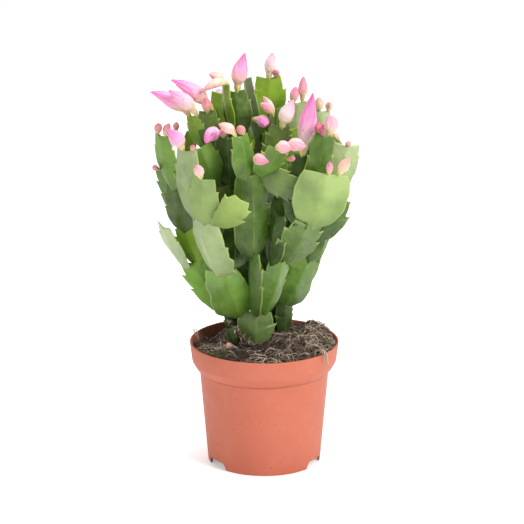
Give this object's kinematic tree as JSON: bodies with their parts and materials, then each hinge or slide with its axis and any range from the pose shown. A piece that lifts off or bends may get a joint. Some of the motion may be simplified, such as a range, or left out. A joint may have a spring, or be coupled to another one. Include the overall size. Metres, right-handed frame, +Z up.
{
  "type": "potted christmas cactus",
  "caption": "Christmas cactus in bud in a round plastic nursery pot: upright stems of flat toothed green segments with pink buds at their tips, rooted in peat.",
  "frame": {"origin": "centre of the pot's foot, on the surface that the pot stands on", "axes": "+Z up through the middle of the pot, +X to the right and -Y to the front as the picture shows it"},
  "size_m": [0.144, 0.1335, 0.292],
  "materials": {
    "pot": "satin",
    "soil": "matte",
    "blade": "satin",
    "bud": "satin"
  },
  "bodies": {
    "root": {"pot": "pot", "soil": "soil", "stem_back": "blade", "stem_back_left": "blade", "stem_back_right": "blade", "stem_front": "blade", "stem_left": "blade", "stem_middle": "blade", "stem_right": "blade", "bud_01": "bud", "bud_02": "bud", "bud_03": "bud", "bud_04": "bud", "bud_05": "bud", "bud_06": "bud", "bud_07": "bud", "bud_08": "bud", "bud_09": "bud", "bud_10": "bud", "bud_11": "bud", "bud_12": "bud", "bud_13": "bud", "bud_14": "bud", "bud_15": "bud", "bud_16": "bud", "bud_17": "bud", "bud_18": "bud", "bud_19": "bud", "bud_20": "bud", "bud_21": "bud", "bud_22": "bud", "bud_23": "bud", "bud_24": "bud", "bud_25": "bud", "bud_26": "bud", "bud_27": "bud", "bud_28": "bud", "bud_29": "bud", "bud_30": "bud", "bud_31": "bud", "bud_32": "bud", "bud_33": "bud", "bud_34": "bud", "bud_35": "bud", "bud_36": "bud", "bud_37": "bud", "bud_38": "bud", "bud_39": "bud", "bud_40": "bud", "bud_41": "bud", "bud_42": "bud", "bud_43": "bud", "bud_44": "bud", "bud_45": "bud", "bud_46": "bud", "bud_fallen": "bud"}
  },
  "joints": []
}
